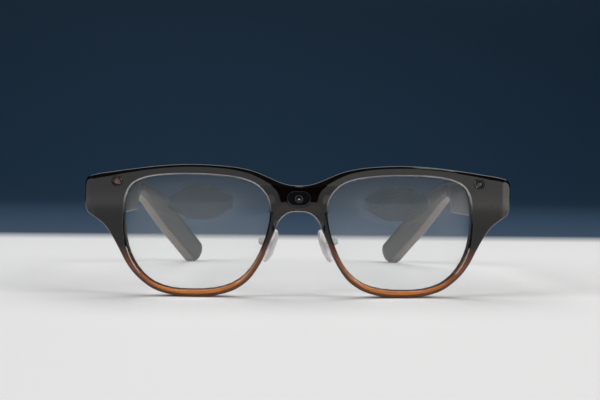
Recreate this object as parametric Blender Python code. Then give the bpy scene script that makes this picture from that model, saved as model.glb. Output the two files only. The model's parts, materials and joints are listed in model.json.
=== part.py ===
"""Smart glasses: a full-rim frame with two display lenses, standing on its lower rims and ear tips.

Axes: the front faces -Y, the temples run back along +Y, +Z is up. Left and right are the
wearer's, so the left lens is on the +X side. The origin is at the middle of the bottom of the box.
Dimensions below are in millimetres; the model is in metres.
"""

import math

import bmesh
import bpy
from mathutils import Matrix, Vector

MM = 0.001
GAP = 0.3

# Overall
TOTAL_DEPTH = 148.64  # front plane to the back of the ear tips
FRONT_DEPTH = 6.4  # thickness of the front frame
PANEL_HALF = 8.0  # the bridge panel is flat and faces straight ahead up to here
FACE_FORM = math.radians(4.5)  # each rim turns back by this much outside the bridge panel

# Front frame, half outline from the top of the bridge, outwards, and back to the nose arch
HALF_OUTLINE = [
    (0, 38.9), (5, 39.7), (10, 41.5), (15, 43.5), (20.5, 44.8), (28, 45.6), (37, 45.9),
    (46, 45.5), (56, 44.4), (65, 43.1), (71, 42.1), (73.3, 41.2), (74.1, 39.5), (74.2, 35.5),
    (74.1, 31.5), (73.2, 29), (70.8, 27.3), (67.5, 24.7), (65, 21.2), (62.5, 16.8), (60, 12),
    (57.5, 8.4), (54, 5), (50, 2.4), (44, 0.6), (36, 0), (28, 0.7), (22, 2.6), (17.5, 5.7),
    (14.5, 9.5), (12, 14), (10.4, 18), (8.8, 21.7), (7, 25.8), (5.2, 28.1), (3, 29.4), (0, 29.7),
]
# Lens opening, closed
LENS_OUTLINE = [
    (9.9, 29.5), (10.4, 33.5), (12.2, 36.7), (15, 39.2), (19.5, 40.9), (26, 41.9), (37, 42.4),
    (48, 42), (54, 40.8), (57.6, 38.8), (59.6, 35.6), (60.4, 31), (60.3, 23), (59.4, 17.4),
    (57.4, 12.4), (54.2, 7.9), (50, 4.7), (44, 2.8), (37, 2.4), (29, 2.9), (23, 4.7),
    (18.4, 8), (15, 12.7), (12.6, 17.8), (10.8, 23.4),
]
LIP_DEPTH = 2.0  # front lip of the rim, ahead of the lens
REBATE = 1.0  # the rear seat is wider than the opening by this
SEAT_CLEAR = 0.7  # lens edge beyond the opening
GRATING_CENTRE = (34.2, 32.7)

# Brow channel, measured down from the top edge
BROW_TOP, BROW_LOW = 0.6, 2.1
CAMERA_CENTRE = (0.0, 34.2)
WINDOW_CENTRE = (62.9, 39.9)

# Endpiece and hinge
INNER_X = 66.5  # inner face of endpiece and temple
BLOCK_REAR = 13.5
BLOCK_LOW = 27.3
HINGE_X, HINGE_Y = 64.4, 14.0
KNUCKLE_R, BORE_R, PIN_R = 1.8, 1.0, 0.7

# Temple
TEMPLE_FRONT = 13.8
TEMPLE_LOW, TEMPLE_TOP = 27.3, 39.5
OUTER_X = 74.0
MID_X = 70.25
SPLIT_Y = 97.0  # shell ends, ear tip starts
BEND_START, BEND_END = 98.0, 112.0
DROP_SLOPE = 0.81
INWARD_START, INWARD_END = 95.0, 108.0
INWARD_SLOPE = 0.505
EAR_END = 146.72

# Nose pads
PAD_PIVOT = (12.0, 11.4, 18.2)
PAD_TILT = math.radians(21)
PAD_SPLAY = math.radians(18)

MATERIALS = {
    "frame_gloss": ((0.045, 0.035, 0.033), 0.08, 0.0),
    "panel_gloss": ((0.012, 0.012, 0.013), 0.06, 0.0),
    "lens_clear": ((0.86, 0.89, 0.90), 0.03, 0.0),
    "waveguide_glass": ((0.80, 0.84, 0.85), 0.03, 0.0),
    "grating_film": ((0.42, 0.44, 0.47), 0.12, 0.0),
    "black_plastic": ((0.02, 0.02, 0.022), 0.35, 0.0),
    "dark_glass": ((0.015, 0.015, 0.02), 0.04, 0.0),
    "sensor_glass": ((0.30, 0.17, 0.15), 0.06, 0.0),
    "hinge_steel": ((0.56, 0.56, 0.57), 0.28, 1.0),
    "gold_core": ((0.80, 0.48, 0.20), 0.25, 1.0),
    "silicone_clear": ((0.82, 0.82, 0.80), 0.30, 0.0),
    "arm_clear": ((0.78, 0.80, 0.80), 0.12, 0.0),
    "temple_satin": ((0.14, 0.115, 0.10), 0.30, 0.0),
    "tip_satin": ((0.12, 0.10, 0.09), 0.36, 0.0),
    "circuit_board": ((0.02, 0.12, 0.06), 0.45, 0.0),
    "flex_film": ((0.45, 0.22, 0.05), 0.35, 0.0),
    "battery_foil": ((0.62, 0.63, 0.65), 0.32, 1.0),
    "alloy_housing": ((0.45, 0.46, 0.48), 0.38, 1.0),
    "speaker_body": ((0.06, 0.06, 0.065), 0.5, 0.0),
    "mesh_steel": ((0.25, 0.25, 0.26), 0.4, 1.0),
    "light_pipe": ((0.75, 0.55, 0.50), 0.2, 0.0),
    "button_gloss": ((0.05, 0.042, 0.04), 0.18, 0.0),
}


# ---------------------------------------------------------------- helpers

for old in list(bpy.data.objects):
    bpy.data.objects.remove(old, do_unlink=True)

parts = bpy.data.collections.new("smart_glasses")
cutters = bpy.data.collections.new("cutters")
bpy.context.scene.collection.children.link(parts)
bpy.context.scene.collection.children.link(cutters)


def material(slot):
    made = bpy.data.materials.get(slot)
    if made:
        return made
    colour, roughness, metallic = MATERIALS[slot]
    made = bpy.data.materials.new(slot)
    made.use_nodes = True
    shader = made.node_tree.nodes["Principled BSDF"]
    shader.inputs["Base Color"].default_value = (*colour, 1)
    shader.inputs["Roughness"].default_value = roughness
    shader.inputs["Metallic"].default_value = metallic
    if slot in ("lens_clear", "waveguide_glass"):
        shader.inputs["Transmission Weight"].default_value = 0.9
        shader.inputs["IOR"].default_value = 1.5
    return made


def to_object(name, bm):
    bmesh.ops.recalc_face_normals(bm, faces=bm.faces)
    mesh = bpy.data.meshes.new(name)
    bm.to_mesh(mesh)
    bm.free()
    obj = bpy.data.objects.new(name, mesh)
    cutters.objects.link(obj)
    return obj


def read(obj):
    bm = bmesh.new()
    bm.from_mesh(obj.data)
    return bm


def write(obj, bm):
    bm.to_mesh(obj.data)
    bm.free()
    obj.data.update()


def bake(obj):
    graph = bpy.context.evaluated_depsgraph_get()
    graph.update()
    mesh = bpy.data.meshes.new_from_object(obj.evaluated_get(graph))
    obj.modifiers.clear()
    obj.data = mesh


def boolean(obj, others, operation):
    for other in others:
        mod = obj.modifiers.new(operation.lower(), "BOOLEAN")
        mod.operation = operation
        mod.object = other
        mod.solver = "EXACT"
        bake(obj)
        bpy.data.objects.remove(other, do_unlink=True)
    return obj


def cut(obj, *others):
    return boolean(obj, others, "DIFFERENCE")


def join(obj, *others):
    return boolean(obj, others, "UNION")


def box(name, x, y, z, round_by=0.0, segments=2):
    bm = bmesh.new()
    centre = [(a + b) / 2 * MM for a, b in (x, y, z)]
    size = [(b - a) * MM for a, b in (x, y, z)]
    bmesh.ops.create_cube(bm, size=1.0)
    for vert in bm.verts:
        vert.co = Vector(c + v * s for c, v, s in zip(centre, vert.co, size))
    if round_by:
        bmesh.ops.bevel(
            bm, geom=bm.edges[:], offset=round_by * MM, segments=segments,
            affect="EDGES", profile=0.5, clamp_overlap=True,
        )
    return to_object(name, bm)


def rod(name, axis, centre, radius, low, high, segments=20, radius_high=None):
    """A round solid along an axis, between low and high; centre gives the other two coordinates."""
    bm = bmesh.new()
    bmesh.ops.create_cone(
        bm, cap_ends=True, segments=segments, radius1=radius * MM,
        radius2=(radius if radius_high is None else radius_high) * MM, depth=(high - low) * MM,
    )
    middle = (low + high) / 2 * MM
    a, b = centre[0] * MM, centre[1] * MM
    if axis == "y":
        turn = Matrix.Translation((a, middle, b)) @ Matrix.Rotation(-math.pi / 2, 4, "X")
    elif axis == "x":
        turn = Matrix.Translation((middle, a, b)) @ Matrix.Rotation(math.pi / 2, 4, "Y")
    else:
        turn = Matrix.Translation((a, b, middle))
    bmesh.ops.transform(bm, matrix=turn, verts=bm.verts)
    return to_object(name, bm)


def area(loop):
    return sum(a[0] * b[1] - b[0] * a[1] for a, b in zip(loop, loop[1:] + loop[:1])) / 2


def wound(loop, positive=True):
    return loop if (area(loop) > 0) == positive else loop[::-1]


def slab(name, loops, low, high, plane="front", bevel=0.0, resolution=1):
    """A flat outline extruded across its plane: front is x and z, side is y and z, plan is x and y."""
    curve = bpy.data.curves.new(name, "CURVE")
    curve.dimensions = "2D"
    curve.fill_mode = "BOTH"
    curve.extrude = ((high - low) / 2 - bevel) * MM
    curve.bevel_depth = bevel * MM
    curve.bevel_resolution = resolution
    curve.offset = -bevel * MM
    for i, loop in enumerate(loops):
        loop = wound(loop, i == 0)
        spline = curve.splines.new("POLY")
        spline.points.add(len(loop) - 1)
        for point, (u, v) in zip(spline.points, loop):
            point.co = (u * MM, v * MM, 0, 1)
        spline.use_cyclic_u = True
    shape = bpy.data.objects.new(name, curve)
    cutters.objects.link(shape)
    middle = (low + high) / 2 * MM
    if plane == "front":
        shape.matrix_world = Matrix.Translation((0, middle, 0)) @ Matrix.Rotation(math.pi / 2, 4, "X")
    elif plane == "side":
        shape.matrix_world = Matrix(
            ((0, 0, 1, middle), (1, 0, 0, 0), (0, 1, 0, 0), (0, 0, 0, 1))
        )
    else:
        shape.matrix_world = Matrix.Translation((0, 0, middle))
    graph = bpy.context.evaluated_depsgraph_get()
    graph.update()
    mesh = bpy.data.meshes.new_from_object(shape.evaluated_get(graph))
    bm = bmesh.new()
    bm.from_mesh(mesh)
    bmesh.ops.transform(bm, matrix=shape.matrix_world, verts=bm.verts)
    bpy.data.objects.remove(shape, do_unlink=True)
    bpy.data.meshes.remove(mesh)
    bmesh.ops.remove_doubles(bm, verts=bm.verts, dist=1e-6)
    return to_object(name, bm)


def smooth_path(points, closed, step):
    """A Catmull-Rom curve through the points, read about every step millimetres."""
    count = len(points)
    found = []
    last = count if closed else count - 1
    for i in range(last):
        if closed:
            a, b, c, d = (points[(i + k) % count] for k in (-1, 0, 1, 2))
        else:
            b, c = points[i], points[i + 1]
            a = points[i - 1] if i else (2 * b[0] - c[0], 2 * b[1] - c[1])
            d = points[i + 2] if i + 2 < count else (2 * c[0] - b[0], 2 * c[1] - b[1])
        parts_here = max(1, round(math.dist(b, c) / step))
        ab, bc, cd = (math.sqrt(math.dist(p, q)) for p, q in ((a, b), (b, c), (c, d)))
        for k in range(parts_here):
            t = ab + bc * k / parts_here
            found.append(_barry(a, b, c, d, ab, bc, cd, t))
    if not closed:
        found.append(points[-1])
    return found


def _barry(a, b, c, d, ab, bc, cd, t):
    t0, t1, t2, t3 = 0.0, ab, ab + bc, ab + bc + cd

    def mix(p, q, low, high):
        w = (t - low) / (high - low)
        return (p[0] * (1 - w) + q[0] * w, p[1] * (1 - w) + q[1] * w)

    a1, a2, a3 = mix(a, b, t0, t1), mix(b, c, t1, t2), mix(c, d, t2, t3)
    return mix(mix(a1, a2, t0, t2), mix(a2, a3, t1, t3), t1, t2)


def grown(loop, by):
    """The closed loop moved outwards by this much."""
    sign = 1 if area(loop) > 0 else -1
    moved = []
    for i, (x, y) in enumerate(loop):
        (px, py), (nx, ny) = loop[i - 1], loop[(i + 1) % len(loop)]
        dx, dy = nx - px, ny - py
        size = math.hypot(dx, dy)
        moved.append((x + sign * by * dy / size, y - sign * by * dx / size))
    return moved


def ring(radius, centre, count=24):
    return [
        (centre[0] + radius * math.cos(2 * math.pi * i / count),
         centre[1] + radius * math.sin(2 * math.pi * i / count))
        for i in range(count)
    ]


def pill(width, height, centre, count=10):
    """Two half circles and the straight runs between them."""
    r = height / 2
    reach = width / 2 - r
    right = [(centre[0] + reach + r * math.cos(a), centre[1] + r * math.sin(a))
             for a in (math.pi * (i / count - 0.5) for i in range(count + 1))]
    left = [(2 * centre[0] - x, 2 * centre[1] - z) for x, z in right]
    return right + left


def sliced(obj, axis, places):
    """Edges added across the solid at these places, so that it can bend there."""
    normal = Vector((axis == "x", axis == "y", axis == "z"))
    bm = read(obj)
    for place in places:
        bmesh.ops.bisect_plane(
            bm, geom=bm.verts[:] + bm.edges[:] + bm.faces[:], dist=1e-7,
            plane_co=normal * place * MM, plane_no=normal,
        )
    write(obj, bm)
    return obj


def moved(obj, rule):
    """Each vertex taken, in millimetres, to where the rule puts it."""
    bm = read(obj)
    for vert in bm.verts:
        vert.co = Vector(rule(*(c / MM for c in vert.co))) * MM
    write(obj, bm)
    return obj


def mirrored(obj, name):
    twin = bpy.data.objects.new(name, obj.data.copy())
    cutters.objects.link(twin)
    bm = read(twin)
    for vert in bm.verts:
        vert.co.x = -vert.co.x
    bmesh.ops.reverse_faces(bm, faces=bm.faces)
    write(twin, bm)
    return twin


def copied(obj):
    twin = bpy.data.objects.new(obj.name + "_copy", obj.data.copy())
    cutters.objects.link(twin)
    return twin


def turned_back(x):
    return math.tan(FACE_FORM) * max(0.0, abs(x) - PANEL_HALF)


def face_form(obj):
    xs = [v.co.x / MM for v in obj.data.vertices]
    sliced(obj, "x", [p for p in (-PANEL_HALF, PANEL_HALF) if min(xs) < p < max(xs)])
    return moved(obj, lambda x, y, z: (x, y + turned_back(x), z))


pivots = {}


def pivot(name, place, axis=(0, 0, 1)):
    """An empty whose Z lies along the joint."""
    empty = bpy.data.objects.new(name, None)
    empty.empty_display_size = 0.01
    turn = Vector((0, 0, 1)).rotation_difference(Vector(axis)).to_matrix().to_4x4()
    empty.matrix_world = Matrix.Translation(place_of(place)) @ turn
    parts.objects.link(empty)
    pivots[name] = empty
    return empty


def place_of(point):
    return Vector((point[0] * MM, (point[1] - TOTAL_DEPTH / 2) * MM, point[2] * MM))


def finish(obj, slot, parent=None):
    """The solid given its place, its material and its parent."""
    for collection in list(obj.users_collection):
        collection.objects.unlink(obj)
    parts.objects.link(obj)
    obj.data.transform(Matrix.Translation((0, -TOTAL_DEPTH / 2 * MM, 0)))
    obj.data.materials.clear()
    obj.data.materials.append(material(slot))
    obj.data.shade_smooth()
    obj.data.set_sharp_from_angle(angle=math.radians(32))
    if parent:
        bpy.context.view_layer.update()
        obj.parent = pivots[parent]
        obj.matrix_parent_inverse = pivots[parent].matrix_world.inverted()
    return obj


def both(obj, slot, parent=None):
    """The left piece and its mirror image on the right."""
    base = obj.name.removesuffix("_left")
    twin = mirrored(obj, base + "_right")
    finish(obj, slot, parent and parent + "_left")
    finish(twin, slot, parent and parent + "_right")


def right_side(obj, name, slot, parent="hinge_axis_right"):
    """A piece drawn on the left that belongs only to the right."""
    twin = mirrored(obj, name)
    bpy.data.objects.remove(obj, do_unlink=True)
    return finish(twin, slot, parent)


# ---------------------------------------------------------------- front outlines

half = smooth_path(HALF_OUTLINE, False, 3.4)
outer = half + [(-x, z) for x, z in half[-2:0:-1]]
lens = smooth_path(LENS_OUTLINE, True, 3.4)
lens_right = [(-x, z) for x, z in lens]


def top_height(x):
    """Height of the frame's top edge."""
    run = [p for p in half if p[1] > 38.5]
    for (ax, az), (bx, bz) in zip(run, run[1:]):
        if ax <= x <= bx:
            return az + (bz - az) * (x - ax) / (bx - ax)
    return run[-1][1]


def brow_band(start, stop, from_top, to_low):
    """A strip that follows the top edge of the frame, between two distances below it."""
    count = max(2, round((stop - start) / 3.6))
    xs = [start + (stop - start) * i / count for i in range(count + 1)]

    def across(by):
        found = []
        for x in xs:
            slope = (top_height(x + 0.8) - top_height(abs(x - 0.8))) / 1.6
            size = math.hypot(1, slope)
            found.append((x + by * slope / size, top_height(x) - by / size))
        return found

    return across(from_top) + across(to_low)[::-1]


def whole_band(stop, from_top, to_low):
    right = brow_band(0, stop, from_top, to_low)
    count = len(right) // 2
    upper, lower = right[:count], right[count:][::-1]
    upper = [(-x, z) for x, z in upper[:0:-1]] + upper
    lower = [(-x, z) for x, z in lower[:0:-1]] + lower
    return upper + lower[::-1]


def bridge_loop(half_width, from_top, low):
    run = brow_band(0, half_width, from_top, from_top)
    run = run[: len(run) // 2]
    return [(-x, z) for x, z in run[:0:-1]] + run + [(half_width, low), (-half_width, low)]


# ---------------------------------------------------------------- front frame

frame = slab("front_frame", [outer, lens, lens_right], 0, FRONT_DEPTH, bevel=0.7, resolution=1)
cut(
    frame,
    slab("seat_left", [grown(lens, REBATE)], LIP_DEPTH, 9),
    slab("seat_right", [grown(lens_right, REBATE)], LIP_DEPTH, 9),
    slab("brow_channel", [whole_band(63.5, BROW_TOP, BROW_LOW)], 3.6, 9),
    slab("bridge_pocket", [bridge_loop(7.3, BROW_TOP, 30.9)], 2.2, 9),
    slab("camera_recess", [pill(8.4, 5.6, CAMERA_CENTRE)], -2, 0.95),
    rod("camera_bore", "y", CAMERA_CENTRE, 1.7, 0.5, 3.0),
)
for side in (-1, 1):
    spot = (side * WINDOW_CENTRE[0], WINDOW_CENTRE[1])
    cut(
        frame,
        rod("window_recess", "y", spot, 1.93, -2, 0.95),
        rod("window_bore", "y", spot, 1.2, 0.5, 2.0),
        rod("sensor_bore", "y", spot, 2.1, 1.3, 9),
        rod("screw_bore", "y", (side * 64.0, 28.4), 0.8, 3.4, 9, segments=16),
    )
face_form(frame)

shoulder = [p for p in half if p[0] > INNER_X and p[1] > BLOCK_LOW]
shoulder = [(INNER_X, shoulder[0][1] + 0.5)] + shoulder + [(INNER_X, BLOCK_LOW)]
for side in (-1, 1):
    block = slab("endpiece", [[(side * x, z) for x, z in grown(wound(shoulder), -0.05)]], 6.0, BLOCK_REAR)
    join(frame, block)
    xs = sorted((side * 68.2, side * 72.8))
    cut(frame, box("engine_pocket", xs, (7.6, 20), (31.0, 38.0)))
bm = read(frame)
bmesh.ops.holes_fill(bm, edges=[e for e in bm.edges if e.is_boundary], sides=4)
bmesh.ops.recalc_face_normals(bm, faces=bm.faces)
write(frame, bm)
finish(frame, "frame_gloss")

# Lenses, displays and what holds them
lens_seat = grown(lens, SEAT_CLEAR)
both(face_form(slab("lens_left", [lens_seat], 2.3, 3.9)), "lens_clear")
gx, gz = GRATING_CENTRE
octagon = [
    (gx + sx * w, gz + sz * h)
    for sx, sz, w, h in (
        (1, -1, 3.9, 6.0), (1, -1, 11.1, 2.0), (1, 1, 11.1, 2.0), (1, 1, 3.9, 6.0),
        (-1, 1, 3.9, 6.0), (-1, 1, 11.1, 2.0), (-1, -1, 11.1, 2.0), (-1, -1, 3.9, 6.0),
    )
]
both(face_form(slab("display_grating_left", [octagon], 4.2, 4.5)), "grating_film")
both(face_form(slab("waveguide_left", [lens_seat], 4.8, 5.5)), "waveguide_glass")
both(face_form(slab("lens_retainer_left", [lens_seat, lens], 5.8, 6.4)), "black_plastic")

# Brow wiring and the covers that close the back of the frame
finish(face_form(slab("brow_flex", [whole_band(60, BROW_TOP + GAP, BROW_LOW - GAP)], 3.9, 4.9)), "flex_film")
brow = slab("brow_cover_left", [brow_band(8.2, 63.2, BROW_TOP + GAP, BROW_LOW - GAP)], 5.2, 6.4)
join(
    brow,
    box("sensor_neck", (62.3, 63.1), (5.2, 6.4), (40.8, 42.2)),
    rod("sensor_cap", "y", WINDOW_CENTRE, 1.8, 5.2, 6.4),
)
both(face_form(brow), "black_plastic")
finish(slab("bridge_cover", [bridge_loop(7.0, BROW_TOP + GAP, 31.2)], 5.2, 6.4), "black_plastic")

# Camera, seen through a pill-shaped window in the bridge
finish(slab("camera_window", [pill(7.8, 5.0, CAMERA_CENTRE)], 0.1, 0.65), "dark_glass")
finish(
    cut(
        rod("camera_lens", "y", CAMERA_CENTRE, 1.4, 0.95, 2.1, segments=24),
        rod("lens_cup", "y", CAMERA_CENTRE, 1.0, 0.5, 1.25, segments=24, radius_high=0.5),
    ),
    "dark_glass",
)
finish(box("camera_module", (-3.3, 3.3), (2.5, 4.9), (31.4, 36.2), 0.25, 1), "alloy_housing")

# Corner windows: a status light on the wearer's right, a light sensor on the left
sensor_window = slab("sensor_window", [ring(1.63, WINDOW_CENTRE, 24)], 0.1, 0.7)
light_window = mirrored(sensor_window, "status_light_window")
finish(face_form(sensor_window), "dark_glass")
finish(face_form(light_window), "sensor_glass")
sensor = rod("light_sensor", "y", WINDOW_CENTRE, 1.7, 2.6, 4.8)
join(sensor, rod("sensor_nose", "y", WINDOW_CENTRE, 0.9, 1.0, 3.0))
light = mirrored(sensor, "status_light")
finish(face_form(sensor), "speaker_body")
finish(face_form(light), "light_pipe")

# Light engines, which feed each display from the endpiece
both(box("light_engine_left", (68.5, 72.5), (7.9, 13.2), (31.3, 37.7), 0.3, 1), "alloy_housing")

# ---------------------------------------------------------------- hinges

for side in ("left", "right"):
    sign = 1 if side == "left" else -1
    pivot("hinge_axis_" + side, (sign * HINGE_X, HINGE_Y, 34.5))

leaf = face_form(box("front_hinge_leaf_left", (60.9, 66.2), (6.7, 7.4), (27.2, 39.0)))
for low, high in ((30.2, 33.0), (36.0, 38.8)):
    join(
        leaf,
        box("arm", (62.9, 65.9), (11.3, 14.0), (low + 0.02, high - 0.02)),
        rod("knuckle", "z", (HINGE_X, HINGE_Y), KNUCKLE_R, low, high),
    )
cut(
    leaf,
    rod("bore", "z", (HINGE_X, HINGE_Y), BORE_R, 29, 40),
    rod("screw_way", "y", (64.0, 28.4), 0.8, 9, 14, segments=16),
)
both(leaf, "hinge_steel")

pin = rod("hinge_pin_left", "z", (HINGE_X, HINGE_Y), PIN_R, 30.0, 39.2, segments=20)
join(pin, rod("pin_head", "z", (HINGE_X, HINGE_Y), 1.4, 39.1, 39.8, segments=20))
both(pin, "hinge_steel")

screw = rod("front_hinge_screw_left", "y", (64.0, 28.4), 0.5, 8.2, 12.2, segments=16)
screw_top = rod("screw_head", "y", (64.0, 28.4), 0.95, 12.1, 12.8, segments=16)
both(cut(join(screw, screw_top), box("slot", (63.0, 65.0), (12.5, 13.5), (28.25, 28.55))), "hinge_steel")


# ---------------------------------------------------------------- temples (left one, then mirrored)


def ramp(y, start, end, slope):
    """Nothing before start, a straight run with this slope after end, a smooth turn between."""
    if y <= start:
        return 0.0
    if y < end:
        return slope * (y - start) ** 2 / (2 * (end - start))
    return slope * ((end - start) / 2 + y - end)


def narrowing(y):
    """The width over the ears is three quarters of the width of the front part."""
    t = min(max((y - 78.0) / 18.0, 0.0), 1.0)
    return 1 - 0.25 * t * t * (3 - 2 * t)


def temple_shape(x, y, z):
    return (MID_X + (x - MID_X) * narrowing(y) - ramp(y, INWARD_START, INWARD_END, INWARD_SLOPE), y, z)


def temple_form(obj):
    ys = [v.co.y / MM for v in obj.data.vertices]
    places = [p for p in [79 + 4 * i for i in range(17)] if min(ys) + 0.2 < p < max(ys) - 0.2]
    sliced(obj, "y", places)
    return moved(obj, temple_shape)


def low_edge(y):
    t = min(max((y - 79.0) / 13.0, 0.0), 1.0)
    return TEMPLE_LOW + 5.9 * t * t * (3 - 2 * t)


def side_profile(start, end, inset=0.0):
    """Side outline of the straight part of the temple."""
    ys = [start] + [y for y in [79 + 2 * i for i in range(9)] if start < y < end] + [end]
    return [(y, low_edge(y) + inset) for y in ys] + [(end, TEMPLE_TOP - inset), (start, TEMPLE_TOP - inset)]


def softened(obj, chosen, by, segments):
    """The chosen edges rounded off."""
    bm = read(obj)
    bmesh.ops.dissolve_limit(bm, angle_limit=math.radians(0.6), verts=bm.verts, edges=bm.edges)
    edges = [e for e in bm.edges if chosen(*((e.verts[0].co + e.verts[1].co) / 2 / MM), e)]
    bmesh.ops.bevel(
        bm, geom=edges, offset=by * MM, segments=segments, affect="EDGES", profile=0.5,
        clamp_overlap=True,
    )
    write(obj, bm)
    return obj


def on_face(x_place):
    def chosen(x, y, z, edge):
        return all(abs(v.co.x / MM - x_place) < 0.01 for v in edge.verts)

    return chosen


CAVITY = ((67.0, 72.6), (27.0, 83.0), (28.9, 37.9))

shell = softened(slab("temple_shell_left", [side_profile(TEMPLE_FRONT, SPLIT_Y)], 67.8, OUTER_X, "side"), on_face(OUTER_X), 1.8, 3)
cut(
    shell,
    box("cavity", *CAVITY, 0.8, 1),
    rod("leaf_screw_bore", "x", (20.5, 31.2), 0.8, 66, 71.5, segments=16),
    box("speaker_slot", (69.0, 72.0), (70.0, 80.0), (26.0, 29.5)),
    box("core_seat", (69.3, 71.2), (87.0, 99.0), (34.9, 37.9)),
)
shell_other = copied(shell)
cut(shell, box("power_slot", (68.9, 72.1), (31.7, 38.3), (26.0, 30.0)))
cut(shell_other, box("capture_slot", (68.9, 72.1), (31.7, 40.3), (36.5, 41.0)))
finish(temple_form(shell), "temple_satin", "hinge_axis_left")
right_side(temple_form(shell_other), "temple_shell_right", "temple_satin")

cover = softened(slab("temple_cover_left", [side_profile(24.3, SPLIT_Y)], INNER_X, 67.5, "side"), on_face(INNER_X), 0.5, 2)
cover_other = cut(copied(cover), box("contact_slot", (66.0, 68.0), (44.0, 53.0), (31.6, 35.2)))
finish(temple_form(cover), "black_plastic", "hinge_axis_left")
right_side(temple_form(cover_other), "temple_cover_right", "black_plastic")


def ear_centre(y):
    return 36.35 - ramp(y, BEND_START, BEND_END, DROP_SLOPE)


def ear_half(y):
    t = min(max((y - 97.0) / 30.0, 0.0), 1.0)
    return 3.15 + 2.2 * t * t * (3 - 2 * t)


def ear_edge(side):
    """Points along one edge of the ear tip, square to its middle line."""
    found = []
    count = 15
    for i in range(count + 1):
        y = SPLIT_Y + GAP + (EAR_END - 3.0 - SPLIT_Y - GAP) * i / count
        slope = (ear_centre(y + 0.1) - ear_centre(y - 0.1)) / 0.2
        size = math.hypot(1, slope)
        found.append((y - side * ear_half(y) * slope / size, ear_centre(y) + side * ear_half(y) / size))
    return found


def ear_outline():
    upper, lower = ear_edge(1), ear_edge(-1)
    end_y = EAR_END - 3.0
    slope = -DROP_SLOPE
    size = math.hypot(1, slope)
    along, square = (1 / size, slope / size), (-slope / size, 1 / size)
    r = ear_half(end_y)
    cap = []
    for i in range(1, 8):
        a = math.pi / 2 - math.pi * i / 8
        cap.append((
            end_y + along[0] * r * 0.86 * math.cos(a) + square[0] * r * math.sin(a),
            ear_centre(end_y) + along[1] * r * 0.86 * math.cos(a) + square[1] * r * math.sin(a),
        ))
    return upper + cap + lower[::-1]


EAR_OUTLINE = ear_outline()


def ear_strip(start, end, half_height):
    count = 9
    ys = [start + (end - start) * i / count for i in range(count + 1)]
    found = []
    for side in (1, -1):
        row = []
        for y in ys:
            slope = (ear_centre(y + 0.1) - ear_centre(y - 0.1)) / 0.2 if y > BEND_START else 0.0
            size = math.hypot(1, slope)
            row.append((y - side * half_height * slope / size, ear_centre(y) + side * half_height / size))
        found += row if side == 1 else row[::-1]
    return found


ear_bevel = 1.9
ear = slab("ear_tip_left", [wound(EAR_OUTLINE)], INNER_X, OUTER_X, "side", bevel=ear_bevel, resolution=1)
cut(ear, slab("core_way", [ear_strip(90.0, 132.0, 1.5)], 69.3, 71.2, "side"))
both(temple_form(ear), "tip_satin", "hinge_axis")
core = slab("core_bar_left", [ear_strip(87.5, 131.5, 1.1)], 69.75, 70.75, "side")
both(temple_form(core), "hinge_steel", "hinge_axis")

# Temple hinge leaf, set flush into the inner face ahead of the cover
leaf = box("temple_hinge_leaf_left", (66.5, 67.5), (14.1, 24.0), (28.6, 38.4), 0.25, 1)
join(
    leaf,
    box("web", (64.8, 67.0), (14.6, 17.2), (33.32, 35.68)),
    rod("knuckle", "z", (HINGE_X, HINGE_Y), KNUCKLE_R, 33.3, 35.7),
)
cut(
    leaf,
    rod("bore", "z", (HINGE_X, HINGE_Y), BORE_R, 32, 37),
    rod("screw_way", "x", (20.5, 31.2), 0.8, 66, 68, segments=16),
)
both(leaf, "hinge_steel", "hinge_axis")
screw = rod("temple_hinge_screw_left", "x", (20.5, 31.2), 0.5, 66.1, 71.2, segments=16)
join(screw, rod("screw_head", "x", (20.5, 31.2), 1.0, 65.6, 66.2, segments=16))
both(cut(screw, box("slot", (65.0, 65.85), (19.0, 22.0), (31.05, 31.35))), "hinge_steel", "hinge_axis")

# Inside the temples
both(box("battery_left", (68.2, 71.7), (42.0, 67.0), (29.4, 37.4), 0.6, 2), "battery_foil", "hinge_axis")
both(box("speaker_left", (68.2, 71.7), (68.0, 81.5), (29.8, 37.2), 0.5, 1), "speaker_body", "hinge_axis")
both(
    box("speaker_mesh_left", (69.3, 71.7), (70.3, 79.7), (27.5, 28.5)), "mesh_steel", "hinge_axis"
)

# Wearer's right: main board, touch sensor, capture button on top, charging contacts
pivot("capture_press", (-70.5, 36.0, 39.5))
pivot("power_press", (70.5, 35.0, 27.3))
right_side(box("a", (68.4, 69.5), (28.0, 41.0), (29.4, 34.6), 0.2, 1), "main_board", "circuit_board")
right_side(box("b", (72.0, 72.3), (30.0, 62.0), (30.2, 36.3)), "touch_sensor", "flex_film")
right_side(box("c", (69.4, 71.6), (34.2, 37.8), (34.9, 36.2), 0.15, 1), "capture_switch", "alloy_housing")
button = box("d", (69.2, 71.8), (32.0, 40.0), (37.2, 39.95), 0.35, 2)
join(button, box("lip", (69.0, 72.0), (31.0, 41.0), (36.7, 37.55)))
right_side(button, "capture_button", "button_gloss", "capture_press")
contacts = box("e", (66.6, 67.2), (44.3, 52.7), (31.9, 34.9))
cut(contacts, box("divide", (66.0, 66.8), (48.2, 48.8), (31, 36)))
right_side(contacts, "charging_contacts", "gold_core")

# Wearer's left: power board, power button underneath
finish(box("power_board", (68.4, 69.5), (28.0, 41.0), (32.2, 37.3), 0.2, 1), "circuit_board", "hinge_axis_left")
finish(box("power_switch", (69.4, 71.6), (33.2, 36.8), (30.6, 31.9), 0.15, 1), "alloy_housing", "hinge_axis_left")
button = box("power_button", (69.2, 71.8), (32.0, 38.0), (26.85, 29.6), 0.35, 2)
join(button, box("lip", (69.0, 72.0), (31.0, 39.0), (29.25, 30.1)))
finish(button, "button_gloss", "power_press")

# ---------------------------------------------------------------- nose pads

TURN = Matrix.Rotation(-PAD_SPLAY, 3, "Z") @ Matrix.Rotation(-PAD_TILT, 3, "Y")
PIVOT = Vector(PAD_PIVOT)


def pad_frame(x, y, z):
    return PIVOT + TURN @ Vector((x, y, z))


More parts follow.
